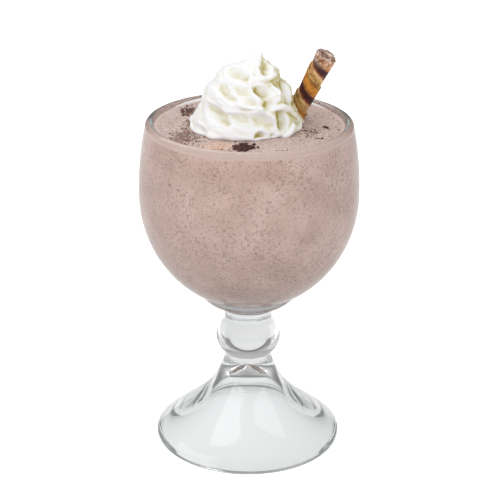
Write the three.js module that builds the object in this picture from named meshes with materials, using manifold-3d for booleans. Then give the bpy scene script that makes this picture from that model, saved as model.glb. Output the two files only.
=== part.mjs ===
// A chocolate milkshake in a footed goblet of clear glass, topped with a piped
// swirl of whipped cream and a rolled wafer that is pushed into the shake.
// Millimetres, +Z up. The origin is on the table, under the goblet's axis.
import * as THREE from 'three';
import { mergeVertices } from 'three/addons/utils/BufferGeometryUtils.js';
import Module from 'manifold-3d';

const wasm = await Module();
wasm.setup();

// Driving dimensions
const around = 40; // facets round the glass
const gap = 0.3; // clearance between touching pieces

const foot = {
  radius: 51.3, // outside of the rolled edge
  edge: 5.3, // thickness of the rolled edge
  ring: 3.2, // width of the flat ring that it stands on
  hollow: 43, // height of the hollow under the foot
};
const stem = {
  radius: 12.9, // short necks above and below the ball
  start: 48, // height where the bell of the foot becomes the stem
  ball: 60.8, // height of the ball's middle
  ballRadius: 17.7,
  bead: 11.5, // radius of the ball's round side
  end: 80.6, // underside of the collar
};
const bowl = {
  collar: 25.8, // radius of the collar under the bowl
  collarHeight: 86.2,
  radius: 59, // widest outside radius
  widest: 145, // height of the widest place
  depth: 63.6, // from the widest place down to the bottom of the outer curve
  side: 180, // radius of the gentle curve from there up to the lip
  wall: 5.4,
  floor: 89.5, // lowest point of the inside
  top: 185, // height of the lip
};
const shake = { level: 182.6 };
const cream = {
  x: -1.5, // middle of the swirl
  height: 37.8,
  lobes: 5, // ridges that the star nozzle leaves on the strand
  groove: 0.3, // depth of the grooves, as a share of the strand's radius
  twist: 1.6, // turns of the ridges round the strand for each turn of the swirl
  turns: 2.3,
  start: -0.1, // where the strand starts, in turns
  tipStart: 23, // height where the pulled tip begins
  tipRadius: 13,
  tipLobes: 5,
  tipTwist: 1.6, // radians that its ridges turn on the way up
  tipLean: 6.3, // the tip leans to the right
  middle: 12, // height that the rays reach on the axis, where they point straight up
};
const wafer = {
  radius: 5.6,
  facets: 16,
  bore: 2.7, // radius of the hollow
  sheet: 0.7, // the baked sheet's thickness, which shows as a step along its seam
  pitch: 17, // the seam's rise in one turn
  length: 122,
  slant: 7, // degrees that the upper end is off square
  entry: new THREE.Vector3(23.5, 11.6, 183), // where its axis meets the shake
  lean: new THREE.Vector3(0.3977, -0.1971, 0.8961), // direction of its upper end
  above: 39.7, // length above the shake, along the axis
};

// Outlines, as (radius, height)
const point = (r, z) => new THREE.Vector2(r, z);

function arc(r, z, rx, rz, from, to, steps) {
  return Array.from({ length: steps + 1 }, (_, i) => {
    const a = THREE.MathUtils.degToRad(from + ((to - from) * i) / steps);
    return point(r + rx * Math.cos(a), z + rz * Math.sin(a));
  });
}

function curve(points, steps) {
  return new THREE.SplineCurve(points).getPoints(steps);
}

// The bowl's side above its widest place, moved inwards by a distance
function bowlSide(inwards, height, steps) {
  return Array.from({ length: steps + 1 }, (_, i) => {
    const rise = ((height - bowl.widest) * i) / steps;
    const drop = bowl.side - Math.sqrt(bowl.side ** 2 - rise ** 2);
    return point(bowl.radius - inwards - drop, bowl.widest + rise);
  });
}

// The bowl's round inside, from its floor up to a height, moved inwards by a distance
function bowlInside(inwards, height, steps) {
  const rx = bowl.radius - bowl.wall - inwards;
  const rz = bowl.widest - bowl.floor - inwards;
  const round = arc(0, bowl.widest, rx, rz, -90, 0, 9);
  return [...round, ...bowlSide(bowl.wall + inwards, height, steps).slice(1)];
}

function lathe(outline) {
  const closed = new THREE.LatheGeometry(outline, around);
  closed.rotateX(Math.PI / 2);
  return closed;
}

// Solids for cutting and joining
function solidOf(geometry) {
  const plain = new THREE.BufferGeometry();
  plain.setAttribute('position', geometry.getAttribute('position').clone());
  plain.setIndex(geometry.getIndex());
  const merged = mergeVertices(plain, 1e-4);
  const position = merged.getAttribute('position');
  const index = merged.getIndex();
  const corners = Array.from({ length: index.count }, (_, i) => index.getX(i));
  const triangles = [];
  for (let i = 0; i < corners.length; i += 3) {
    const [a, b, c] = corners.slice(i, i + 3);
    if (a !== b && b !== c && c !== a) triangles.push(a, b, c);
  }
  return new wasm.Manifold(
    new wasm.Mesh({
      numProp: 3,
      vertProperties: new Float32Array(position.array),
      triVerts: new Uint32Array(triangles),
    }),
  );
}

function geometryOf(solid) {
  const mesh = solid.getMesh();
  const geometry = new THREE.BufferGeometry();
  geometry.setAttribute('position', new THREE.BufferAttribute(mesh.vertProperties, 3));
  geometry.setIndex(new THREE.BufferAttribute(mesh.triVerts, 1));
  return geometry;
}

// Joins rings of points into a closed skin, with a fan over each end
function skin(rings) {
  const n = rings[0].length;
  const points = rings.flat();
  const index = [];
  for (let i = 0; i + 1 < rings.length; i++) {
    for (let k = 0; k < n; k++) {
      const a = i * n + k;
      const b = i * n + ((k + 1) % n);
      index.push(a, b, b + n, a, b + n, a + n);
    }
  }
  for (const [ring, first] of [[rings[0], 0], [rings.at(-1), (rings.length - 1) * n]]) {
    const middle = new THREE.Vector3();
    ring.forEach((p) => middle.addScaledVector(p, 1 / n));
    points.push(middle);
    for (let k = 0; k < n; k++) {
      const edge = [first + k, first + ((k + 1) % n)];
      if (first === 0) edge.reverse();
      index.push(...edge, points.length - 1);
    }
  }
  const geometry = new THREE.BufferGeometry().setFromPoints(points);
  geometry.setIndex(index);
  return geometry;
}

// Goblet: one piece of pressed glass, from the hollow foot to the rounded lip
function gobletOutline() {
  const ringInner = foot.radius - foot.edge / 2 - foot.ring;
  const edgeRadius = foot.edge / 2;
  const edge = arc(foot.radius - edgeRadius, edgeRadius, edgeRadius, edgeRadius, -90, 60, 4);
  const bell = curve(
    [edge.at(-1), point(43.4, 10.3), point(31.6, 19.9), point(21.8, 30), point(16, 40),
      point(stem.radius, stem.start)],
    9,
  );
  const beadMiddle = stem.ballRadius - stem.bead;
  const ball = arc(beadMiddle, stem.ball, stem.bead, stem.bead, -54, 54, 6);
  const collar = curve(
    [point(stem.radius, stem.end), point(18, 81.4), point(22.5, 83.2),
      point(bowl.collar, bowl.collarHeight), point(28, 89.6)],
    5,
  );
  const round = arc(0, bowl.widest, bowl.radius, bowl.depth, -58.5, 0, 7);
  const lipRadius = bowl.wall / 2 - 0.05;
  const side = bowlSide(0, bowl.top - lipRadius, 4).slice(1);
  const lip = arc(side.at(-1).x - lipRadius, bowl.top - lipRadius, lipRadius, lipRadius, 30, 150, 3);
  const inside = bowlInside(0, bowl.top - lipRadius, 4).reverse();
  const hollow = curve(
    [point(0, foot.hollow), point(6.5, 41.8), point(11.2, 37.2), point(17.4, 28.2),
      point(26.4, 16.6), point(34.5, 8.4), point(41, 3.2), point(ringInner, 0)],
    10,
  );
  return [...hollow, ...edge, ...bell.slice(1), ...ball, ...collar, ...round, ...side,
    ...lip, ...inside];
}

// Wafer: a sheet rolled up on a slant, so its edge climbs the roll as a left-hand screw line
const lean = wafer.lean.clone().normalize();
const waferPlace = new THREE.Matrix4().compose(
  wafer.entry.clone().addScaledVector(lean, wafer.above - wafer.length),
  new THREE.Quaternion().setFromUnitVectors(new THREE.Vector3(0, 0, 1), lean),
  new THREE.Vector3(1, 1, 1),
);

// The roll with an extra turn at both ends, which are cut square afterwards
function screwBand() {
  const n = wafer.facets;
  const last = (Math.ceil(wafer.length / wafer.pitch) + 2) * n;
  const points = [];
  const index = [];
  for (let i = 0; i <= last; i++) {
    const a = (-2 * Math.PI * i) / n;
    const z = (wafer.pitch * i) / n - 2 * wafer.pitch;
    const inner = wafer.radius - wafer.sheet;
    points.push(new THREE.Vector3(inner * Math.cos(a), inner * Math.sin(a), z));
    points.push(
      new THREE.Vector3(wafer.radius * Math.cos(a), wafer.radius * Math.sin(a), z + wafer.pitch),
    );
  }
  const low = (i) => 2 * i;
  const high = (i) => 2 * i + 1;
  for (let i = 0; i < last; i++) {
    index.push(low(i + 1), low(i), high(i), low(i + 1), high(i), high(i + 1));
    if (i + n < last) {
      index.push(high(i + 1), high(i), low(i + n), high(i + 1), low(i + n), low(i + n + 1));
    }
  }
  const turn = Array.from({ length: n + 1 }, (_, i) => i);
  const start = [...turn.map(low), high(0)];
  const end = [low(last), ...turn.map((i) => high(last - i))];
  for (const loop of [start, end]) {
    const middle = points[loop[n / 2]].clone().setX(0).setY(0);
    points.push(middle);
    loop.forEach((p, i) => index.push(p, loop[(i + 1) % loop.length], points.length - 1));
  }
  const geometry = new THREE.BufferGeometry().setFromPoints(points);
  geometry.setIndex(index);
  return geometry;
}

function waferGeometry() {
  const bore = new THREE.CylinderGeometry(wafer.bore, wafer.bore, 2 * wafer.length, 12);
  bore.rotateX(Math.PI / 2);
  bore.translate(0, 0, wafer.length / 2);
  const box = new THREE.BoxGeometry(60, 60, 60);
  const bottom = box.clone().translate(0, 0, -30);
  const top = box.clone().translate(0, 0, 30);
  top.rotateY(THREE.MathUtils.degToRad(wafer.slant));
  top.translate(0, 0, wafer.length);
  let solid = solidOf(screwBand());
  for (const cutter of [bore, bottom, top]) solid = solid.subtract(solidOf(cutter));
  return geometryOf(solid);
}

function waferHole() {
  const radius = wafer.radius + gap;
  const cutter = new THREE.CylinderGeometry(radius, radius, wafer.length + 20, 24);
  cutter.rotateX(Math.PI / 2);
  cutter.translate(0, 0, wafer.length / 2 + 10 - gap);
  cutter.applyMatrix4(waferPlace);
  return solidOf(cutter);
}

// Shake: fills the bowl to just under the lip, round the wafer
function shakeGeometry() {
  const outline = [...bowlInside(gap, shake.level, 4), point(0, shake.level)];
  return geometryOf(solidOf(lathe(outline)).subtract(waferHole()));
}

// Whipped cream: a ridged strand wound in a rising spiral, with a pulled tip on top.
// Its outer surface is found along rays that fan out from the middle of the swirl.
const creamBase = shake.level + gap;
const strandKeys = [
  // turn, radius of the winding, height of the strand's middle, radius of the strand
  [0, 19.5, 5, 8.4],
  [0.15, 19.5, 5, 9.4],
  [0.8, 19.5, 6, 9.6],
  [1.3, 15.6, 12.5, 9],
  [1.8, 12.2, 18.8, 8.6],
  [2.3, 8.2, 24, 8],
];

function strandAt(turn) {
  const i = Math.max(1, strandKeys.findIndex((key) => key[0] >= turn));
  const [before, after] = [strandKeys[i - 1], strandKeys[i]];
  const share = (turn - before[0]) / (after[0] - before[0]);
  return before.map((value, k) => THREE.MathUtils.lerp(value, after[k], share));
}

// A star with rounded ridges, as a share of the strand's radius
function starRadius(lobes, angle) {
  return 1 - cream.groove * Math.abs(Math.cos((lobes * angle) / 2));
}

function inStrand(x, y, z) {
  const first = cream.start - Math.atan2(y, x) / (2 * Math.PI);
  const reach = Math.hypot(x, y);
  for (let turn = first - Math.floor(first); turn <= cream.turns; turn++) {
    const [, winding, height, radius] = strandAt(turn);
    const a = Math.atan2(z - height, reach - winding);
    const size = radius * starRadius(cream.lobes, a - cream.twist * turn * 2 * Math.PI);
    if (Math.hypot(z - height, reach - winding) < size) return true;
  }
  return false;
}

// The end of the swirl is a ridged cone, turned as it is pulled up to a leaning tip
function inTip(x, y, z) {
  const share = (z - cream.tipStart) / (cream.height - cream.tipStart);
  if (share > 1) return false;
  const up = Math.max(0, share);
  const radius = cream.tipRadius * Math.cos((Math.PI / 2) * up ** 0.8) ** 1.2;
  const dx = x - cream.tipLean * up ** 1.5;
  const a = Math.atan2(y, dx);
  return Math.hypot(dx, y) < radius * starRadius(cream.tipLobes, a + up * cream.tipTwist);
}

function creamSkin() {
  const rows = 20;
  const spokes = 56;
  const slant = 1.5; // spokes that each row is turned by, so that the facets follow the ridges
  const ring = (row) => Array.from({ length: spokes }, (_, k) => {
    const v = row / rows;
    const a = (2 * Math.PI * (k - row * slant)) / spokes;
    const rise = (Math.PI / 2) * v;
    const start = new THREE.Vector3(cream.tipLean * v ** 2, 0, cream.middle * v);
    const along = new THREE.Vector3(
      Math.cos(a) * Math.cos(rise), Math.sin(a) * Math.cos(rise), Math.sin(rise),
    );
    const at = new THREE.Vector3();
    for (let far = cream.height; far > 0; far -= 0.1) {
      at.copy(start).addScaledVector(along, far);
      if (inStrand(at.x, at.y, at.z) || inTip(at.x, at.y, at.z)) break;
    }
    return at.add(new THREE.Vector3(cream.x, 0, creamBase));
  });
  const tip = new THREE.Vector3(cream.x + cream.tipLean, 0, creamBase + cream.height);
  const rings = Array.from({ length: rows }, (_, row) => ring(row));
  const end = rings[rows - 1].map((p) => p.clone().sub(tip).setZ(0).setLength(0.3).add(tip));
  return skin([...rings, end]);
}

function creamGeometry() {
  return geometryOf(solidOf(creamSkin()).subtract(waferHole()));
}

// Materials
const glass = new THREE.MeshStandardMaterial({
  color: '#eef2f2', roughness: 0.03, metalness: 0, transparent: true, opacity: 0.35,
});
const milkshake = new THREE.MeshStandardMaterial({ color: '#c6aa9f', roughness: 0.5 });
const whipped = new THREE.MeshStandardMaterial({ color: '#f7f4ea', roughness: 0.45 });
const baked = new THREE.MeshStandardMaterial({ color: '#c98f4c', roughness: 0.6 });

function piece(name, geometry, material) {
  const mesh = new THREE.Mesh(geometry, material);
  mesh.name = name;
  return mesh;
}

const drink = new THREE.Group();
drink.add(piece('goblet', geometryOf(solidOf(lathe(gobletOutline()))), glass));
drink.add(piece('milkshake', shakeGeometry(), milkshake));
drink.add(piece('whipped_cream', creamGeometry(), whipped));

const roll = piece('wafer_roll', waferGeometry(), baked);
roll.applyMatrix4(waferPlace);
drink.add(roll);

export default drink;
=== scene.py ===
# A chocolate milkshake in a footed goblet, with piped cream, a rolled wafer and chocolate crumbs.
import math
import random
import bmesh
import bpy
import numpy as np
from mathutils import Matrix, Vector, geometry, noise


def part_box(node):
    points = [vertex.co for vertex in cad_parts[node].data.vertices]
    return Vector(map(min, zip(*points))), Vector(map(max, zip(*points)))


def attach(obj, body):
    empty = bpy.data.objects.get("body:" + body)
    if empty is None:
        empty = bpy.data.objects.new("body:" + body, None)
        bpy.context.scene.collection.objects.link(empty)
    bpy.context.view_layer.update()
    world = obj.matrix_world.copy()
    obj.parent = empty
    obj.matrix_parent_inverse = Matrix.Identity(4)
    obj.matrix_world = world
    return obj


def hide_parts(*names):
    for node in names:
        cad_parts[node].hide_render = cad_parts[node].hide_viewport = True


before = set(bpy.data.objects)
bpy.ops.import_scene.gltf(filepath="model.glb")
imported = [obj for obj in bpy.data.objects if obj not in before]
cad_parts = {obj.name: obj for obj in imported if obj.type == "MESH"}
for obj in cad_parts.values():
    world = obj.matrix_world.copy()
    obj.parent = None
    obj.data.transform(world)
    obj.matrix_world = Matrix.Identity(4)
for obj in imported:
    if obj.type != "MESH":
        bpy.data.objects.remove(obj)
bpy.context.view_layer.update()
mm = 0.001  # sizes below are in millimetres, and Blender's are in metres
random.seed(11)


def linear(hexText):  # sRGB hex to the linear colour that shaders use
    parts = [int(hexText[i:i + 2], 16) / 255 for i in (1, 3, 5)]
    return tuple(c / 12.92 if c <= 0.04045 else ((c + 0.055) / 1.055) ** 2.4 for c in parts) + (1.0,)


def addNode(tree, kind, inputs=None, stops=None, **settings):
    node = tree.nodes.new("ShaderNode" + kind)
    for name, value in settings.items():
        setattr(node, name, value)
    for name, value in (inputs or {}).items():
        if isinstance(value, bpy.types.NodeSocket):
            tree.links.new(value, node.inputs[name])
        else:
            node.inputs[name].default_value = value
    if stops:  # places and colours of a colour ramp
        ramp = node.color_ramp.elements
        while len(ramp) < len(stops):
            ramp.new(0.5)
        for element, (place, colour) in zip(ramp, stops):
            element.position = place
            element.color = linear(colour)
    return node


def newMaterial(name):
    material = bpy.data.materials.new(name)
    material.use_nodes = True
    material.node_tree.nodes.clear()
    return material, material.node_tree


def toPiece(mesh, name, material, slot, *nodes):
    piece = bpy.data.objects.new(name, mesh)
    bpy.context.scene.collection.objects.link(piece)
    mesh.materials.clear()
    mesh.materials.append(material)
    mesh.polygons.foreach_set("use_smooth", [True] * len(mesh.polygons))
    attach(piece, "root")
    if nodes:
        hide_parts(*nodes)


def toMesh(bm, name):
    mesh = bpy.data.meshes.new(name)
    bm.to_mesh(mesh)
    bm.free()
    return mesh


# Outlines are lists of (radius, height) in millimetres
def arcPoints(r, z, rx, rz, start, end, steps):
    angles = [math.radians(start + (end - start) * i / steps) for i in range(steps + 1)]
    return [(r + rx * math.cos(a), z + rz * math.sin(a)) for a in angles]


def smoothLine(points, steps):  # a smooth curve through the points
    p = [Vector((x, y, 0)) for x, y in points]
    p = [p[0]] + p + [p[-1]]
    line = [points[0]]
    for a, b, c, d in zip(p, p[1:], p[2:], p[3:]):
        bend = geometry.interpolate_bezier(b, b + (c - a) / 6, c - (d - b) / 6, c, steps + 1)
        line += [(v.x, v.y) for v in bend[1:]]
    return line


def spinOutline(outline, steps):
    bm = bmesh.new()
    verts = [bm.verts.new((r * mm, 0, z * mm)) for r, z in outline]
    edges = [bm.edges.new(pair) for pair in zip(verts, verts[1:])]
    bmesh.ops.spin(bm, geom=verts + edges, axis=(0, 0, 1), angle=math.tau, steps=steps, use_merge=True)
    bmesh.ops.remove_doubles(bm, verts=bm.verts, dist=1e-6)
    bmesh.ops.recalc_face_normals(bm, faces=bm.faces)
    return bm


# Goblet
goblet = dict(
    footRadius=51.3, footEdge=5.3, ringWidth=3.2, ringInset=1.2, ringRound=1.5,
    hollow=[  # under the foot, from its top to the ring that the goblet stands on
        (0, 43.8), (2.5, 42.3), (6.5, 39.9), (11.2, 36.3), (17.4, 28.2), (26.4, 16.6), (34.5, 8.4),
        (41, 3.2)],
    bell=[(43.4, 10.3), (31.6, 19.9), (21.8, 30), (16, 40)],  # the foot's upper side
    stemRadius=12.9, stemStart=48, stemEnd=80.6,
    ball=60.8, ballRadius=17.7, bead=11.5, beadTurn=54,
    collar=[(18, 81.4), (22.5, 83.2), (25.8, 86.2), (28, 89.6)],
    bowlRadius=59, widest=145, depth=63.6, bowlStart=-58.5,
    side=180,  # radius of the curve of the bowl's side
    wall=5.4, floor=89.5, lipFlat=0.05, steps=240,
    turnsOfLight=12.5,  # light that turns more often than this inside the glass ends in a painted grey glow
)
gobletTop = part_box("goblet")[1].z / mm


def bowlSide(inwards, top, steps):  # from the widest place up, moved inwards
    g = goblet
    heights = [g["widest"] + (top - g["widest"]) * i / steps for i in range(steps + 1)]
    drops = [g["side"] - math.sqrt(g["side"] ** 2 - (z - g["widest"]) ** 2) for z in heights]
    return [(g["bowlRadius"] - inwards - drop, z) for drop, z in zip(drops, heights)]


def bowlInside(inwards, top, steps):  # from the floor up to a height
    g = goblet
    rx = g["bowlRadius"] - g["wall"] - inwards
    rz = g["widest"] - g["floor"] - inwards
    bottom = arcPoints(0, g["widest"], rx, rz, -90, 0, steps)
    return bottom + bowlSide(g["wall"] + inwards, top, steps // 2)[1:]


def gobletOutline():
    g = goblet
    edge = g["footEdge"] / 2
    ringInner = g["footRadius"] - edge - g["ringWidth"]
    lip = g["wall"] / 2 - g["lipFlat"]
    hollow = smoothLine(g["hollow"] + [(ringInner, 0.6)], 8)
    ring = arcPoints(
        ringInner + g["ringInset"], g["ringRound"], g["ringRound"], g["ringRound"], -120, -90, 4)
    foot = arcPoints(g["footRadius"] - edge, edge, edge, edge, -90, 60, 14)
    bell = smoothLine([foot[-1]] + g["bell"] + [(g["stemRadius"], g["stemStart"])], 8)
    ball = arcPoints(
        g["ballRadius"] - g["bead"], g["ball"], g["bead"], g["bead"], -g["beadTurn"], g["beadTurn"], 24)
    collar = smoothLine([(g["stemRadius"], g["stemEnd"])] + g["collar"], 6)
    bowl = arcPoints(0, g["widest"], g["bowlRadius"], g["depth"], g["bowlStart"], 0, 30)
    side = bowlSide(0, gobletTop - lip, 14)[1:]
    rim = arcPoints(side[-1][0] - lip, gobletTop - lip, lip, lip, 10, 170, 12)
    inside = bowlInside(0, gobletTop - lip, 30)[::-1]
    return hollow + ring + foot + bell[1:] + ball + collar + bowl + side + rim + inside


# Soda-lime glass, pressed and fire-polished: clear with a faint cool tint, its edges gather grey from
# the dim horizon, and a painted grey glow stands in for light that turns many times inside it
def pressedGlass():
    material, tree = newMaterial("pressedSodaLimeGlass")
    space = addNode(tree, "TexCoord")
    wave = addNode(tree, "TexNoise", {
        "Vector": space.outputs["Object"], "Scale": 1 / (14 * mm), "Detail": 1})
    ripple = addNode(tree, "Bump", {
        "Height": wave.outputs["Fac"], "Strength": 0.12, "Distance": 0.6 * mm})
    glass = addNode(tree, "BsdfPrincipled", {
        "Base Color": linear("#fbfcfc"), "Roughness": 0.0, "IOR": 1.52, "Transmission Weight": 1.0,
        "Normal": ripple.outputs["Normal"]})
    clear = addNode(tree, "BsdfTransparent", {"Color": linear("#f4f7f7")})
    rays = addNode(tree, "LightPath")
    both = addNode(tree, "MixShader", {0: rays.outputs["Is Shadow Ray"]})
    tree.links.new(glass.outputs[0], both.inputs[1])
    tree.links.new(clear.outputs[0], both.inputs[2])
    # painted glow: light that has turned more than turnsOfLight times inside the glass is given a grey
    # glow instead of ending dark
    lost = addNode(tree, "Math", {0: rays.outputs["Ray Depth"], 1: goblet["turnsOfLight"]},
                   operation="GREATER_THAN")
    grey = addNode(tree, "Emission", {"Color": linear("#b4b8b8")})
    ended = addNode(tree, "MixShader", {0: lost.outputs[0]})
    tree.links.new(both.outputs[0], ended.inputs[1])
    tree.links.new(grey.outputs[0], ended.inputs[2])
    depth = addNode(tree, "VolumeAbsorption", {"Color": linear("#e0e2e2"), "Density": 16.0})
    addNode(tree, "OutputMaterial", {"Surface": ended.outputs[0], "Volume": depth.outputs[0]})
    return material


print("goblet")
toPiece(
    toMesh(spinOutline(gobletOutline(), goblet["steps"]), "gobletGlass"), "gobletGlass",
    pressedGlass(), "clear_glass", "goblet")


# Milkshake
shake = dict(
    reach=0.15,  # into the glass, so that no air gap shows
    level=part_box("milkshake")[1].z / mm, inset=4.2, drop=0.4, dome=0.7,
    meniscus=0.5, meniscusWidth=0.8, lumps=0.5, lumpSize=7, grain=0.22, grainSizes=(1.3, 0.6),
    calmEdge=4,  # lumps and grain fade out over this distance from the wall
    steps=300, rings=100,
    froth=(2.6, 1.6),  # depths under the level where the foam's colour begins and is full
    ring=(48.2, 49.4), ringDepth=(3.2, 2.4),  # the smooth ring of foam at the glass
    caramel=(-16, -37, 183), caramelSize=(4, 11),  # a tan patch in the foam
    specks=[  # size of the cells, how far a speck may reach in its cell, colour, strength
        (0.85, 0.8, "#a3877b", 0.5), (1.5, 0.66, "#907468", 0.44), (3.8, 0.26, "#634740", 0.6)],
)


def shakeTop(x, y):  # height of the foam at a place, in millimetres
    s = shake
    r = math.hypot(x, y)
    wall = goblet["bowlRadius"] - goblet["wall"] - s["inset"]
    height = s["level"] + s["dome"] * (1 - (r / wall) ** 2) - s["drop"]
    height += s["meniscus"] * math.exp(-max(0, wall - r) / s["meniscusWidth"])
    here = Vector((x, y, 0))
    fade = min(1, max(0, (wall - r) / s["calmEdge"]))
    coarse, fine = s["grainSizes"]
    height += fade * s["lumps"] * noise.noise(here / s["lumpSize"])
    height += fade * s["grain"] * (noise.noise(here / coarse) + 0.6 * noise.noise(here / fine))
    return height


def shakeMesh():
    s = shake
    wall = bowlInside(-s["reach"], s["level"] - 0.2, 30)
    top = [(wall[-1][0] * (1 - i / s["rings"]), s["level"]) for i in range(s["rings"] + 1)]
    bm = spinOutline(wall + top, s["steps"])
    for v in bm.verts:
        if v.co.z > (s["level"] - 0.1) * mm:
            v.co.z = shakeTop(v.co.x / mm, v.co.y / mm) * mm
    return toMesh(bm, "milkshake")


# Chocolate milkshake, blended with ice cream and biscuit: satin and milky, pale pink-brown with fine
# dark specks that blur into it, and paler, frothy foam on top
def blendedShake():
    s = shake
    material, tree = newMaterial("blendedChocolateShake")
    space = addNode(tree, "TexCoord").outputs["Object"]
    cloud = addNode(tree, "TexNoise", {"Vector": space, "Scale": 1 / (16 * mm), "Detail": 3})
    tone = addNode(tree, "ValToRGB", {"Fac": cloud.outputs["Fac"]}, stops=[
        (0.3, "#c1a59b"), (0.5, "#ccb0a6"), (0.7, "#d7bdb4")])
    colour = tone.outputs["Color"]
    warp = addNode(tree, "TexNoise", {"Vector": space, "Scale": 1 / (1.3 * mm), "Detail": 2})
    shift = addNode(tree, "VectorMath", {0: warp.outputs["Color"], 1: (0.5, 0.5, 0.5)},
                    operation="SUBTRACT")
    moved = addNode(tree, "VectorMath", {0: shift.outputs[0], 1: (1.8 * mm,) * 3, 2: space},
                    operation="MULTIPLY_ADD")
    spread = addNode(tree, "TexNoise", {"Vector": space, "Scale": 1 / (19 * mm), "Detail": 2})
    thick = addNode(tree, "MapRange", {  # more specks in some places than in others
        "Value": spread.outputs["Fac"], "From Min": 0.36, "From Max": 0.62,
        "To Min": 0.72, "To Max": 1.04})
    for size, reach, speckHex, strength in s["specks"]:
        cells = addNode(tree, "TexVoronoi", {"Vector": moved.outputs[0], "Scale": 1 / (size * mm)})
        chance = addNode(tree, "SeparateColor", {"Color": cells.outputs["Color"]})
        wide = addNode(tree, "Math", {0: chance.outputs[0], 1: reach}, operation="MULTIPLY")
        wide = addNode(tree, "Math", {0: wide.outputs[0], 1: thick.outputs["Result"]},
                       operation="MULTIPLY")
        inside = addNode(tree, "Math", {0: wide.outputs[0], 1: cells.outputs["Distance"]},
                         operation="SUBTRACT")
        speck = addNode(tree, "MapRange", {
            "Value": inside.outputs[0], "From Max": 0.15, "To Max": strength})
        colour = addNode(tree, "Mix", {
            "Factor": speck.outputs["Result"], "A": colour, "B": linear(speckHex)},
            data_type="RGBA").outputs["Result"]
    axes = addNode(tree, "SeparateXYZ", {"Vector": space})
    onTop = addNode(tree, "MapRange", {
        "Value": axes.outputs["Z"],
        "From Min": (s["level"] - s["froth"][0]) * mm, "From Max": (s["level"] - s["froth"][1]) * mm})
    dust = addNode(tree, "TexNoise", {
        "Vector": space, "Scale": 1 / (1.4 * mm), "Detail": 5, "Roughness": 0.75})
    froth = addNode(tree, "ValToRGB", {"Fac": dust.outputs["Fac"]}, stops=[
        (0.34, "#8b756e"), (0.46, "#b7a29a"), (0.54, "#c9b7af"), (0.68, "#dbccc4")])
    topColour = addNode(tree, "Mix", {"Factor": 0.75, "A": colour, "B": froth.outputs["Color"]},
                        data_type="RGBA")
    colour = addNode(tree, "Mix", {
        "Factor": onTop.outputs["Result"], "A": colour, "B": topColour.outputs["Result"]},
        data_type="RGBA").outputs["Result"]
    gap = addNode(tree, "VectorMath", {0: space, 1: [v * mm for v in s["caramel"]]},
                  operation="DISTANCE")
    near = addNode(tree, "MapRange", {
        "Value": gap.outputs["Value"], "From Min": s["caramelSize"][0] * mm,
        "From Max": s["caramelSize"][1] * mm, "To Min": 0.42, "To Max": 0.0})
    colour = addNode(tree, "Mix", {
        "Factor": near.outputs["Result"], "A": colour, "B": linear("#d3a584")},
        data_type="RGBA").outputs["Result"]
    flat = addNode(tree, "VectorMath", {0: space, 1: (1, 1, 0)}, operation="MULTIPLY")
    out = addNode(tree, "VectorMath", {0: flat.outputs[0]}, operation="LENGTH")
    atGlass = addNode(tree, "MapRange", {
        "Value": out.outputs["Value"],
        "From Min": s["ring"][0] * mm, "From Max": s["ring"][1] * mm, "To Max": 0.8})
    nearTop = addNode(tree, "MapRange", {
        "Value": axes.outputs["Z"], "From Min": (s["level"] - s["ringDepth"][0]) * mm,
        "From Max": (s["level"] - s["ringDepth"][1]) * mm})
    ring = addNode(tree, "Math", {0: atGlass.outputs["Result"], 1: nearTop.outputs["Result"]},
                   operation="MULTIPLY")
    colour = addNode(tree, "Mix", {"Factor": ring.outputs[0], "A": colour, "B": linear("#d3bcb3")},
                     data_type="RGBA").outputs["Result"]
    foam = addNode(tree, "TexVoronoi", {"Vector": space, "Scale": 1 / (0.7 * mm)})
    relief = addNode(tree, "Bump", {
        "Height": foam.outputs["Distance"], "Strength": 0.25, "Distance": 0.2 * mm})
    surface = addNode(tree, "BsdfPrincipled", {
        "Base Color": colour, "Roughness": 0.45, "IOR": 1.36, "Subsurface Weight": 0.25,
        "Subsurface Radius": (1.0, 0.6, 0.4), "Subsurface Scale": 2 * mm,
        "Normal": relief.outputs["Normal"]})
    addNode(tree, "OutputMaterial", {"Surface": surface.outputs[0]})
    return material


print("milkshake")
toPiece(shakeMesh(), "milkshakeBody", blendedShake(), "milkshake", "milkshake")


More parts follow.
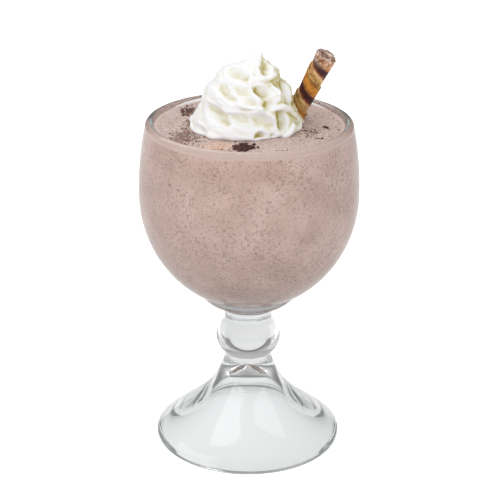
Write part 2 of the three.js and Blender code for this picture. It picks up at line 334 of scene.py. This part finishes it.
# Whipped cream: a piped mound with a pulled tip. Its grooves, ridges and curls follow paths of
# (angle round the mound in degrees, height in millimetres)
cream = dict(
    x=-1.5, lean=6.6, leanStart=24, leanOver=14.4,
    belly=(19, 5, 0.7),  # height, spread and size of a swell to the right
    outline=[  # radius and height, from the shake to the tip
        (0, -2.5), (24, -2.5), (27.6, -0.8), (29.6, 0.5), (29.7, 1.7), (28.6, 3.6), (27.5, 5.6),
        (26.4, 7.8), (24.9, 10.5), (23.9, 13.5), (23.3, 16.4), (22.4, 19.4), (20.6, 21.8),
        (18.6, 23.2), (17.2, 24.6), (16.6, 26.6), (15.6, 28.6), (12.9, 30.9), (9, 32.9), (5.3, 34.7),
        (2.7, 36.8), (1.3, 38.5), (0, 39.6)],
    skirtTop=9, skirtFade=6, waveTop=4, waveFade=3,
    skirt=[  # angle, and how far the foot of the mound reaches out there
        (-180, 0), (-150, 1.6), (-122, 1.9), (-104, 0.3), (-82, -0.8), (-62, -2.2), (-40, -0.6),
        (-15, 0.2), (20, -0.6), (50, 1.3), (85, 0.2), (115, -1.2), (150, 0.8), (180, 0)],
    grooves=[  # path, half width and depth
        ([(-165, 31.5), (-128, 30.8), (-102, 29.2), (-90, 27)], 4.6, 3.2),
        ([(-20, 34.8), (-48, 32.4), (-62, 29.8)], 3.8, 2.4),
        ([(-80, 24), (-64, 22.1), (-61, 18.9), (-66, 14.6)], 4.3, 3.8),
        ([(-14, 24.2), (-26, 20.1), (-28, 16), (-24, 11.6)], 3.9, 3.0),
        ([(-112, 25.6), (-93, 21.6), (-82, 16.6)], 4.9, 1.9),
        ([(-143, 24.6), (-119, 21.3), (-104, 18.4)], 3.2, 3.4),
        ([(-150, 14), (-130, 11.8), (-119, 9.8), (-109, 7.2)], 3.9, 3.4),
        ([(-163, 2.8), (-140, 2.2), (-124, 2)], 2.8, 1.2),
        ([(-112, 10.6), (-88, 9.8), (-70, 9.2), (-57, 6)], 4.9, 2.6),
        ([(-47, 13), (-45, 8.2), (-50, 3.6)], 3.9, 3.4),
        ([(-12, 8), (-17, 5), (-20, 1)], 2.6, 2.4),
        ([(-171, 21), (-165, 15), (-160, 9)], 3.6, 1.6),
        ([(-82, 1.4), (-75, 3), (-69, 2)], 2.7, 3.4),
        ([(-65, 2.4), (-57, 1.6)], 2.6, 3.2),
        ([(-100, 14.2), (-91, 14.7), (-79, 14.4)], 1.3, 1.4)],
    ridges=[  # path, half width and height
        ([(-90, 34), (-89, 30), (-86, 25.5), (-77, 18.5), (-71, 13.7), (-59, 10.5), (-54, 6), (-54, 0)],
         2.4, 1.2),
        ([(150, 29.5), (-156, 27.6), (-128, 23), (-104, 17.6), (-88, 15.4), (-72, 13.4)], 2.0, 0.9),
        ([(-82, 28.6), (-50, 28), (-25, 28.8)], 1.9, 1.2),
        ([(-80, 25.8), (-46, 25.2), (-40, 21.5), (-48, 17)], 1.7, 0.9),
        ([(-146, 15.6), (-120, 13.4), (-104, 13.2), (-88, 15.2)], 1.7, 0.9)],
    curls=[  # path of (angle, height, distance out of the outline), radii at its ends and middle
        ([(-64, 11.6, -1.8), (-52, 14.2, -0.6), (-42, 14.4, 0.2), (-28, 11.6, 0.2), (-20, 7.4, -0.3),
          (-13, 2.2, -1.4)], 0.9, 1.9),
        ([(-26, 5.2, -1.6), (-34, 3.4, 0.2), (-44, 1.2, 0.1), (-50, -1, -1)], 0.8, 1.7)],
    folds=[(8.5, 1.3), (3.6, 0.45)],  # size and depth of the uneven folds
    twist=4, squeeze=1.7,  # of the folds: degrees to each millimetre of height, and how flat they lie
    wave=0.35, turnBack=184, steps=420, voxel=0.38, soften=2,
    evenOut=220,  # more rounds of smoothing make the even copy that tells hollows from ridges
    hollowDepth=1.3, rightShade=0.95, rightShadeStart=0.15,  # painted shade: hollows and the side away from the light are coloured cream-yellow
)
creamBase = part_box("whipped_cream")[0].z / mm


def creamShift(height):  # how far right of its foot the mound is at a height
    c = cream
    middle, spread, swell = c["belly"]
    share = np.clip((height - c["leanStart"]) / c["leanOver"], 0, 1)
    return c["lean"] * share ** 1.5 + swell * np.exp(-((height - middle) / spread) ** 2)


def onCream(angle, height, out=0.0):  # the place at an angle and height, out of the outline
    rows = np.array(cream["outline"][1:])
    radius = np.interp(height, rows[:, 1], rows[:, 0]) + out
    turn = np.radians(angle)
    return np.stack([radius * np.cos(turn) + creamShift(height), radius * np.sin(turn), height], axis=-1)


def pathOnCream(path):
    rows = np.array(path, dtype=float)
    rows[:, 0] = np.degrees(np.unwrap(np.radians(rows[:, 0])))
    share = np.linspace(0, len(rows) - 1, 12 * len(rows))
    return [np.interp(share, range(len(rows)), column) for column in rows.T]


def press(spots, path, width, depth, sharp):  # the spots near a path, and how far each one moves
    trace = onCream(*pathOnCream(path))
    near = np.flatnonzero(((spots > trace.min(0) - width) & (spots < trace.max(0) + width)).all(1))
    away = np.linalg.norm(spots[near, None] - trace[None], axis=2)
    share = away.argmin(1) / (len(trace) - 1)
    ends = np.sqrt(np.clip(3 * np.minimum(share, 1 - share), 0, 1))
    across = np.clip(away.min(1) / (width * (0.5 + 0.5 * ends)), 0, 1)
    profile = (1 - across) ** 1.6 if sharp else (1 - across ** 2) ** 1.35
    return near, depth * profile * (0.15 + 0.85 * ends)


def turned(path, turn):
    return [(angle + turn,) + tuple(rest) for angle, *rest in path]


def creamMound():
    c = cream
    mesh = toMesh(spinOutline(smoothLine(c["outline"], 6), c["steps"]), "creamMound")
    spots, normals = (np.empty(len(mesh.vertices) * 3, np.float32) for _ in range(2))
    mesh.vertices.foreach_get("co", spots)
    mesh.vertices.foreach_get("normal", normals)
    spots = spots.reshape(-1, 3).astype(float) / mm
    normals = normals.reshape(-1, 3)
    angle = np.degrees(np.arctan2(spots[:, 1], spots[:, 0]))
    skirt = np.array(c["skirt"], dtype=float)
    low = np.clip((c["skirtTop"] - spots[:, 2]) / c["skirtFade"], 0, 1)
    lowest = np.clip((c["waveTop"] - spots[:, 2]) / c["waveFade"], 0, 1)
    wave = np.sin(np.radians(angle * 11)) + 0.7 * np.sin(np.radians(angle * 17 + 40))
    grow = np.interp(angle, skirt[:, 0], skirt[:, 1]) * low
    grow += c["wave"] * wave * lowest
    radius = np.linalg.norm(spots[:, :2], axis=1)
    spots[:, :2] *= (1 + grow / np.maximum(radius, 1))[:, None]
    spots[:, 0] += creamShift(spots[:, 2])
    carved = np.zeros(len(spots))
    raised = np.zeros(len(spots))
    for turn in (0, c["turnBack"]):
        for path, width, depth in c["grooves"]:
            near, deep = press(spots, turned(path, turn), width, depth, False)
            carved[near] = np.maximum(carved[near], deep)
        for path, width, height in c["ridges"]:
            near, high = press(spots, turned(path, turn), width, height, True)
            raised[near] = np.maximum(raised[near], high)
    for size, deep in c["folds"]:  # drawn out along the swirl
        turn = np.radians(spots[:, 2] * c["twist"])
        along = np.stack([
            spots[:, 0] * np.cos(turn) - spots[:, 1] * np.sin(turn),
            spots[:, 0] * np.sin(turn) + spots[:, 1] * np.cos(turn), spots[:, 2] * c["squeeze"]],
            axis=1)
        raised += deep * (0.25 - np.abs([noise.noise(Vector(at) / size) for at in along]))
    spots += normals * (raised - carved)[:, None]
    mesh.vertices.foreach_set("co", (spots * mm).ravel())
    return mesh


def sweep(bm, places):  # draws a closed line through the places, and shuts both ends
    edges = list(bm.edges)
    bmesh.ops.transform(bm, matrix=places[0], verts=bm.verts)
    bmesh.ops.edgeloop_fill(bm, edges=edges)
    for before, after in zip(places, places[1:]):
        made = bmesh.ops.extrude_edge_only(bm, edges=edges)["geom"]
        edges = [e for e in made if isinstance(e, bmesh.types.BMEdge)]
        verts = [v for v in made if isinstance(v, bmesh.types.BMVert)]
        bmesh.ops.transform(bm, matrix=after @ before.inverted(), verts=verts)
    bmesh.ops.edgeloop_fill(bm, edges=edges)
    bmesh.ops.recalc_face_normals(bm, faces=bm.faces)


def curlMesh(path, thin, thick):
    trace = [Vector(spot) for spot in onCream(*pathOnCream(path))]
    bm = bmesh.new()
    bmesh.ops.create_circle(bm, segments=24, radius=1)
    places = []
    for i, spot in enumerate(trace):
        ahead = trace[min(i + 1, len(trace) - 1)] - trace[max(i - 1, 0)]
        size = (thin + (thick - thin) * math.sin(math.pi * i / (len(trace) - 1))) * mm
        turn = ahead.to_track_quat("Z", "Y").to_matrix().to_4x4()
        places.append(Matrix.Translation(spot * mm) @ turn @ Matrix.Scale(size, 4))
    sweep(bm, places)
    return toMesh(bm, "creamCurl")


def withModifiers(piece):  # its mesh as the modifiers leave it
    return bpy.data.meshes.new_from_object(piece.evaluated_get(bpy.context.evaluated_depsgraph_get()))


def creamMesh():
    c = cream
    parts = [creamMound()] + [curlMesh(*curl) for curl in c["curls"]]
    core = bmesh.new()
    for part in parts:
        core.from_mesh(part)
        bpy.data.meshes.remove(part)
    bmesh.ops.translate(core, verts=core.verts, vec=(c["x"] * mm, 0, creamBase * mm))
    rough = bpy.data.objects.new("roughCream", toMesh(core, "roughCream"))
    bpy.context.scene.collection.objects.link(rough)
    remesh = rough.modifiers.new("join", "REMESH")
    remesh.mode = "VOXEL"
    remesh.voxel_size = c["voxel"] * mm
    soften = rough.modifiers.new("soften", "SMOOTH")
    soften.iterations = c["soften"]
    mesh = withModifiers(rough)
    soften.iterations = c["soften"] + c["evenOut"]
    rounder = withModifiers(rough)
    bpy.data.objects.remove(rough)
    flat = [np.empty(len(mesh.vertices) * 3, np.float32) for _ in range(3)]
    mesh.vertices.foreach_get("co", flat[0])
    rounder.vertices.foreach_get("co", flat[1])
    mesh.vertices.foreach_get("normal", flat[2])
    here, even, normal = (a.reshape(-1, 3) for a in flat)
    # painted shade: the deeper a spot lies below the even copy, and the more it faces right, away from
    # the key light, the yellower it is coloured
    depth = ((even - here) * normal).sum(axis=1) / mm
    paintedShade = depth / c["hollowDepth"] + c["rightShade"] * (normal[:, 0] - c["rightShadeStart"]).clip(0)
    # the hollow attribute carries this painted shade of the hollows and the right side
    hollow = mesh.attributes.new("hollow", "FLOAT", "POINT")
    hollow.data.foreach_set("value", np.clip(paintedShade, -1, 1).astype(np.float32))
    return mesh


# Whipped cream, piped from a can: satin white that glows, with painted cream-yellow, faintly green shade
# in its folds and on its right side
def pipedCream():
    material, tree = newMaterial("pipedWhippedCream")
    space = addNode(tree, "TexCoord").outputs["Object"]
    # painted shade, read from the hollow attribute
    hollow = addNode(tree, "Attribute", attribute_name="hollow")
    share = addNode(tree, "MapRange", {
        "Value": hollow.outputs["Fac"], "From Min": -0.2, "From Max": 1.0})
    # painted shade: from white on the ridges to cream-yellow and olive in the hollows and on the right
    # side
    tone = addNode(tree, "ValToRGB", {"Fac": share.outputs["Result"]}, stops=[
        (0.0, "#ededef"), (0.28, "#e9e8e1"), (0.52, "#dcd7bf"), (0.78, "#c5ba84"), (1.0, "#a69950")])
    bubbles = addNode(tree, "TexNoise", {"Vector": space, "Scale": 1 / (1.1 * mm), "Detail": 3})
    relief = addNode(tree, "Bump", {
        "Height": bubbles.outputs["Fac"], "Strength": 0.2, "Distance": 0.25 * mm})
    surface = addNode(tree, "BsdfPrincipled", {
        "Base Color": tone.outputs["Color"], "Roughness": 0.42, "IOR": 1.4, "Subsurface Weight": 0.25,
        "Subsurface Radius": (1.0, 0.85, 0.55), "Subsurface Scale": 1.2 * mm,
        "Normal": relief.outputs["Normal"]})
    addNode(tree, "OutputMaterial", {"Surface": surface.outputs[0]})
    return material


print("whipped cream")
toPiece(creamMesh(), "pipedCream", pipedCream(), "whipped_cream", "whipped_cream")


# Wafer: a thin sheet rolled up and screwed
wafer = dict(
    radius=5.6, sheet=0.58, turns=3.4, length=122.6,
    wrap=0.82, pitch=17,  # distance between two turns, and length in which the roll screws round once
    entry=(23.5, 11.6, 183), above=40.3,  # where its axis enters the shake, and its length above that
    lean=(0.3977, -0.1971, 0.8961), rings=250, stepsPerTurn=26,
    flare=0.09, flareLength=22, slantEnd=0.4, ragged=0.9, raggedSize=2.2,
    stripeStart=0.33, stripeWobble=0.14,
    paleEnd=(6.5, 2),  # distances from the end where its paler colour begins and is full
    skin=(4.55, 4.75),  # distances from the axis where the inner layers end and the skin is full
)
waferLean = Vector(wafer["lean"]).normalized()
waferFoot = (Vector(wafer["entry"]) + waferLean * (wafer["above"] - wafer["length"])) * mm
waferPlace = Matrix.Translation(waferFoot) @ waferLean.to_track_quat("Z", "Y").to_matrix().to_4x4()


def waferPiece():
    w = wafer
    count = round(w["turns"] * w["stepsPerTurn"])
    rolled = [  # the sheet's outer side, from the hollow to its lapped edge
        (w["radius"] - w["wrap"] * w["turns"] * (1 - k / count), math.tau * (k / count - 1) * w["turns"])
        for k in range(count + 1)]
    loop = rolled + [(r - w["sheet"], a) for r, a in rolled[::-1]]
    bm = bmesh.new()
    verts = [bm.verts.new((r * math.cos(a) * mm, r * math.sin(a) * mm, 0)) for r, a in loop]
    for pair in zip(verts, verts[1:] + verts[:1]):
        bm.edges.new(pair)
    turns = -math.tau * w["length"] / w["pitch"]
    sweep(bm, [
        Matrix.Translation((0, 0, w["length"] * share * mm)) @ Matrix.Rotation(turns * share, 4, "Z")
        for share in (i / w["rings"] for i in range(w["rings"] + 1))])
    for v in bm.verts:  # flared and ragged near the end that shows
        near = min(1, max(0, 1 - (w["length"] - v.co.z / mm) / w["flareLength"])) ** 2
        v.co.x *= 1 + w["flare"] * near
        v.co.y *= 1 + w["flare"] * near
        ragged = noise.noise(Vector((v.co.x, v.co.y, 0)) / (w["raggedSize"] * mm)) * w["ragged"]
        v.co.z += (ragged + w["slantEnd"] * v.co.x / mm / w["radius"]) * near ** 3 * mm
    bmesh.ops.transform(bm, matrix=waferPlace, verts=bm.verts)
    return toMesh(bm, "waferRoll")


# Wafer batter baked in a thin sheet: dry and porous, golden, with a dark stripe that screws round it
# and paler, speckled layers at its end
def bakedWafer():
    w = wafer
    material, tree = newMaterial("bakedWaferSheet")
    space = addNode(tree, "TexCoord").outputs["Object"]
    inRoll = addNode(tree, "Mapping", {
        "Vector": space, "Location": waferPlace.translation, "Rotation": waferPlace.to_euler()},
        vector_type="TEXTURE")
    axes = addNode(tree, "SeparateXYZ", {"Vector": inRoll.outputs[0]})
    angle = addNode(tree, "Math", {0: axes.outputs["Y"], 1: axes.outputs["X"]}, operation="ARCTAN2")
    turn = addNode(tree, "Math", {0: angle.outputs[0], 1: math.tau}, operation="DIVIDE")
    rise = addNode(tree, "Math", {0: axes.outputs["Z"], 1: w["pitch"] * mm}, operation="DIVIDE")
    screw = addNode(tree, "Math", {0: turn.outputs[0], 1: rise.outputs[0]}, operation="ADD")
    wobble = addNode(tree, "TexNoise", {"Vector": inRoll.outputs[0], "Scale": 1 / (5 * mm), "Detail": 3})
    shifted = addNode(tree, "Math", {
        0: wobble.outputs["Fac"], 1: w["stripeWobble"], 2: screw.outputs[0]}, operation="MULTIPLY_ADD")
    shifted = addNode(tree, "Math", {0: shifted.outputs[0], 1: w["stripeStart"]}, operation="SUBTRACT")
    band = addNode(tree, "Math", {0: shifted.outputs[0]}, operation="FRACT")
    stripes = addNode(tree, "ValToRGB", {"Fac": band.outputs[0]}, stops=[
        (0.0, "#74402f"), (0.07, "#4c2727"), (0.18, "#401f26"), (0.24, "#5e3028"), (0.27, "#bb8449"),
        (0.36, "#d6913a"), (0.52, "#dc9a42"), (0.62, "#ab783c"), (0.68, "#cca467"), (0.86, "#dcb77e"),
        (0.92, "#f4d6b0"), (0.96, "#b5784c")])
    blotch = addNode(tree, "TexNoise", {
        "Vector": inRoll.outputs[0], "Scale": 1 / (2.6 * mm), "Detail": 4})
    baked = addNode(tree, "ValToRGB", {"Fac": blotch.outputs["Fac"]}, stops=[
        (0.3, "#a8917a"), (0.5, "#ece2d4"), (0.7, "#ffffff")])
    browned = addNode(tree, "Mix", {
        "Factor": 1.0, "A": stripes.outputs["Color"], "B": baked.outputs["Color"]},
        data_type="RGBA", blend_type="MULTIPLY")
    out = addNode(tree, "VectorMath", {0: inRoll.outputs[0], 1: (1, 1, 0)}, operation="MULTIPLY")
    reach = addNode(tree, "VectorMath", {0: out.outputs[0]}, operation="LENGTH")
    layers = addNode(tree, "Math", {0: reach.outputs["Value"], 1: w["wrap"] * mm}, operation="DIVIDE")
    lines = addNode(tree, "Math", {0: layers.outputs[0], 1: turn.outputs[0]}, operation="ADD")
    lines = addNode(tree, "Math", {0: lines.outputs[0]}, operation="FRACT")
    # dark lines along the rolled layers: partly the sheet's brown baked sides, partly painted shade in
    # the gaps between the layers
    cut = addNode(tree, "ValToRGB", {"Fac": lines.outputs[0]}, stops=[
        (0.0, "#3d2320"), (0.2, "#6b4639"), (0.35, "#dcbba6"), (0.8, "#e4c8b5"), (1.0, "#4c2e27")])
    skin = addNode(tree, "MapRange", {
        "Value": reach.outputs["Value"],
        "From Min": w["skin"][0] * mm, "From Max": w["skin"][1] * mm})
    both = addNode(tree, "Mix", {
        "Factor": skin.outputs["Result"], "A": cut.outputs["Color"], "B": browned.outputs["Result"]},
        data_type="RGBA")
    high = addNode(tree, "MapRange", {
        "Value": axes.outputs["Z"], "From Min": (w["length"] - w["paleEnd"][0]) * mm,
        "From Max": (w["length"] - w["paleEnd"][1]) * mm, "To Max": 0.7})
    pale = addNode(tree, "ValToRGB", {"Fac": blotch.outputs["Fac"]}, stops=[
        (0.36, "#5c382f"), (0.47, "#b18d7b"), (0.62, "#f0dccd")])
    ended = addNode(tree, "Mix", {
        "Factor": high.outputs["Result"], "A": both.outputs["Result"], "B": pale.outputs["Color"]},
        data_type="RGBA")
    pores = addNode(tree, "TexNoise", {
        "Vector": inRoll.outputs[0], "Scale": 1 / (0.8 * mm), "Detail": 4})
    relief = addNode(tree, "Bump", {
        "Height": pores.outputs["Fac"], "Strength": 0.5, "Distance": 0.2 * mm})
    surface = addNode(tree, "BsdfPrincipled", {
        "Base Color": ended.outputs["Result"], "Roughness": 0.6, "IOR": 1.45,
        "Normal": relief.outputs["Normal"]})
    addNode(tree, "OutputMaterial", {"Surface": surface.outputs[0]})
    return material


print("wafer")
toPiece(waferPiece(), "waferRoll", bakedWafer(), "wafer", "wafer_roll")


# Chocolate crumbs
crumbs = dict(
    patches=[  # x, y, spread in x and y, how many, their smallest and largest radius, how pale they are
        (-3.5, -38.2, 4, 3.8, 120, 0.5, 1.4, 0.0), (-32.5, 23, 3.4, 8, 44, 0.6, 1.6, 0.45),
        (-29.5, 0, 4, 8, 50, 0.5, 1.4, 0.65), (-33, -22, 7, 11, 380, 0.25, 0.75, 0.7),
        (19.5, -42.7, 3, 0.7, 18, 0.4, 0.9, 0.1), (40, -4.5, 1.2, 1.4, 10, 0.5, 1.3, 0.0),
        (37, -24, 1.8, 1.4, 8, 0.3, 0.7, 0.2), (31, -14, 7, 9, 130, 0.2, 0.55, 0.5),
        (-12, -42, 6, 3, 40, 0.2, 0.5, 0.6)],
    loose=1000, looseSize=(0.1, 0.38), looseTone=0.6, toneSpread=0.2,
    inset=5.6, standOut=0.25, rough=0.22,
    batch=60,  # made some at a time, which is quicker
)


def crumb(bm, tones, at, size, tone):
    turn = Matrix.Rotation(random.uniform(0, math.tau), 4, Vector((random.random(), random.random(), 1)))
    stretch = Matrix.Diagonal(
        (random.uniform(0.7, 1.4), random.uniform(0.6, 1.1), random.uniform(0.5, 0.9), 1))
    place = Matrix.Translation(at * mm) @ turn @ stretch
    made = bmesh.ops.create_icosphere(bm, subdivisions=1, radius=size * mm, matrix=place)
    for v in made["verts"]:
        v.co += noise.random_vector() * size * crumbs["rough"] * mm
        v[tones] = tone


def crumbMesh():
    c = crumbs
    noise.seed_set(5)
    wall = goblet["bowlRadius"] - goblet["wall"] - c["inset"]
    spots = []
    for x, y, wide, deep, count, small, large, tone in c["patches"]:
        for _ in range(count):
            spots.append((random.gauss(x, wide / 1.7), random.gauss(y, deep / 1.7), small, large, tone))
    for _ in range(c["loose"]):
        r = wall * math.sqrt(random.random())
        a = random.uniform(0, math.tau)
        spots.append((r * math.cos(a), r * math.sin(a), *c["looseSize"], c["looseTone"]))
    spots = [spot for spot in spots if math.hypot(spot[0], spot[1]) < wall]
    whole = bmesh.new()
    for start in range(0, len(spots), c["batch"]):
        bm = bmesh.new()
        tones = bm.verts.layers.float.new("tone")
        for x, y, small, large, tone in spots[start:start + c["batch"]]:
            size = small + (large - small) * random.random() ** 1.6
            at = Vector((x, y, shakeTop(x, y) + size * c["standOut"]))
            crumb(bm, tones, at, size, tone + random.uniform(-c["toneSpread"], c["toneSpread"]))
        some = toMesh(bm, "someCrumbs")
        whole.from_mesh(some)
        bpy.data.meshes.remove(some)
    return toMesh(whole, "chocolateCrumbs")


# Crushed dark chocolate biscuit: dry and rough, from black-brown to the pale brown of small crumbs
# that the shake has wetted
def darkCrumb():
    material, tree = newMaterial("darkChocolateCrumb")
    space = addNode(tree, "TexCoord").outputs["Object"]
    blotch = addNode(tree, "TexNoise", {"Vector": space, "Scale": 1 / (2.2 * mm), "Detail": 2})
    pale = addNode(tree, "Attribute", attribute_name="tone")
    mixed = addNode(tree, "Math", {0: blotch.outputs["Fac"], 1: 0.6, 2: pale.outputs["Fac"]},
                    operation="MULTIPLY_ADD")
    tone = addNode(tree, "ValToRGB", {"Fac": mixed.outputs[0]}, stops=[
        (0.15, "#351917"), (0.45, "#5a332f"), (0.8, "#815f57"), (1.0, "#a1877d")])
    surface = addNode(tree, "BsdfPrincipled", {
        "Base Color": tone.outputs["Color"], "Roughness": 0.6, "IOR": 1.45})
    addNode(tree, "OutputMaterial", {"Surface": surface.outputs[0]})
    return material


print("crumbs")
toPiece(crumbMesh(), "chocolateCrumbs", darkCrumb(), "milkshake")


# Studio, in metres: white paper floor, soft lights from the front left, the front right and the back
studio = dict(
    floorRadius=3.0, floorDrop=0.05 * mm,
    glow=0.12, glowSeen=0.5, glowLit=0.2,  # of the floor: everywhere, for the camera, for matt surfaces
    aim=(0, 0, 0.12),  # where the lights point
    lamps=[  # name, place, size and power
        ("keyLight", (-0.85, -0.75, 0.85), 1.1, 7.8), ("fillLight", (0.95, -0.8, 0.5), 1.3, 7.0),
        ("topLight", (-0.3, 0.6, 1.1), 0.8, 2.6)],
    sky=[(0.0, "#858585"), (0.5, "#858585"), (0.62, "#8f8f8f"), (0.8, "#dcdcdc"), (1.0, "#f4f4f4")],
    bounces=28,  # thick glass turns light round many times
)


def whiteFloor():
    bm = bmesh.new()
    bmesh.ops.create_circle(bm, cap_ends=True, segments=64, radius=studio["floorRadius"])
    bmesh.ops.translate(bm, verts=bm.verts, vec=(0, 0, -studio["floorDrop"]))
    floor = bpy.data.objects.new("floor", toMesh(bm, "floor"))
    bpy.context.scene.collection.objects.link(floor)
    material, tree = newMaterial("whitePaperSweep")
    rays = addNode(tree, "LightPath")
    seen = addNode(tree, "Math", {
        0: rays.outputs["Is Camera Ray"], 1: studio["glowSeen"], 2: studio["glow"]},
        operation="MULTIPLY_ADD")
    lit = addNode(tree, "Math", {0: rays.outputs["Diffuse Depth"], 1: 1}, operation="MINIMUM")
    glow = addNode(tree, "Math", {0: lit.outputs[0], 1: studio["glowLit"], 2: seen.outputs[0]},
                   operation="MULTIPLY_ADD")
    paper = addNode(tree, "BsdfPrincipled", {
        "Base Color": linear("#e2e2e2"), "Roughness": 0.95, "Specular IOR Level": 0.0,
        "Emission Color": (1, 1, 1, 1), "Emission Strength": glow.outputs[0]})
    addNode(tree, "OutputMaterial", {"Surface": paper.outputs[0]})
    floor.data.materials.append(material)


def softLight(name, at, size, power):
    light = bpy.data.lights.new(name, "AREA")
    light.size = size
    light.energy = power
    lamp = bpy.data.objects.new(name, light)
    lamp.location = at
    lamp.visible_glossy = name == "topLight"  # the only one whose reflection shows
    lamp.rotation_euler = (Vector(studio["aim"]) - Vector(at)).to_track_quat("-Z", "Y").to_euler()
    bpy.context.scene.collection.objects.link(lamp)


def paleSky():  # white behind the subject, dim near the horizon, where it gives glass its grey edges
    world = bpy.data.worlds.new("paleStudio")
    bpy.context.scene.world = world
    world.use_nodes = True
    tree = world.node_tree
    tree.nodes.clear()
    way = addNode(tree, "SeparateXYZ", {"Vector": addNode(tree, "TexCoord").outputs["Generated"]})
    share = addNode(tree, "MapRange", {"Value": way.outputs["Z"], "From Min": -1.0, "From Max": 1.0})
    tone = addNode(tree, "ValToRGB", {"Fac": share.outputs["Result"]}, stops=studio["sky"])
    sky = addNode(tree, "Background", {"Color": tone.outputs["Color"]})
    plain = addNode(tree, "Background", {"Color": (1, 1, 1, 1)})
    rays = addNode(tree, "LightPath")
    both = addNode(tree, "MixShader", {0: rays.outputs["Is Camera Ray"]})
    tree.links.new(sky.outputs[0], both.inputs[1])
    tree.links.new(plain.outputs[0], both.inputs[2])
    addNode(tree, "OutputWorld", {"Surface": both.outputs[0]})


print("studio")
whiteFloor()
for lamp in studio["lamps"]:
    softLight(*lamp)
paleSky()
bpy.context.scene.view_settings.view_transform = "Standard"
bpy.context.scene.cycles.max_bounces = studio["bounces"]
bpy.context.scene.cycles.transmission_bounces = studio["bounces"]
bpy.context.scene.cycles.glossy_bounces = studio["bounces"]

# Camera, found from the goblet's outline in the photograph. Its place is in metres
camera = dict(at=(0.0007, -0.7637, 0.4273), down=22.49, roll=0.4, lens=109.46, sensor=36)
shot = bpy.data.objects.new("camera", bpy.data.cameras.new("camera"))
shot.data.lens = camera["lens"]
shot.data.sensor_width = camera["sensor"]
shot.data.clip_start = 0.01
shot.location = camera["at"]
tilt = Matrix.Rotation(math.radians(90 - camera["down"]), 4, "X")
roll = Matrix.Rotation(math.radians(camera["roll"]), 4, "Z")
shot.rotation_euler = (tilt @ roll).to_euler()
bpy.context.scene.collection.objects.link(shot)
bpy.context.scene.camera = shot
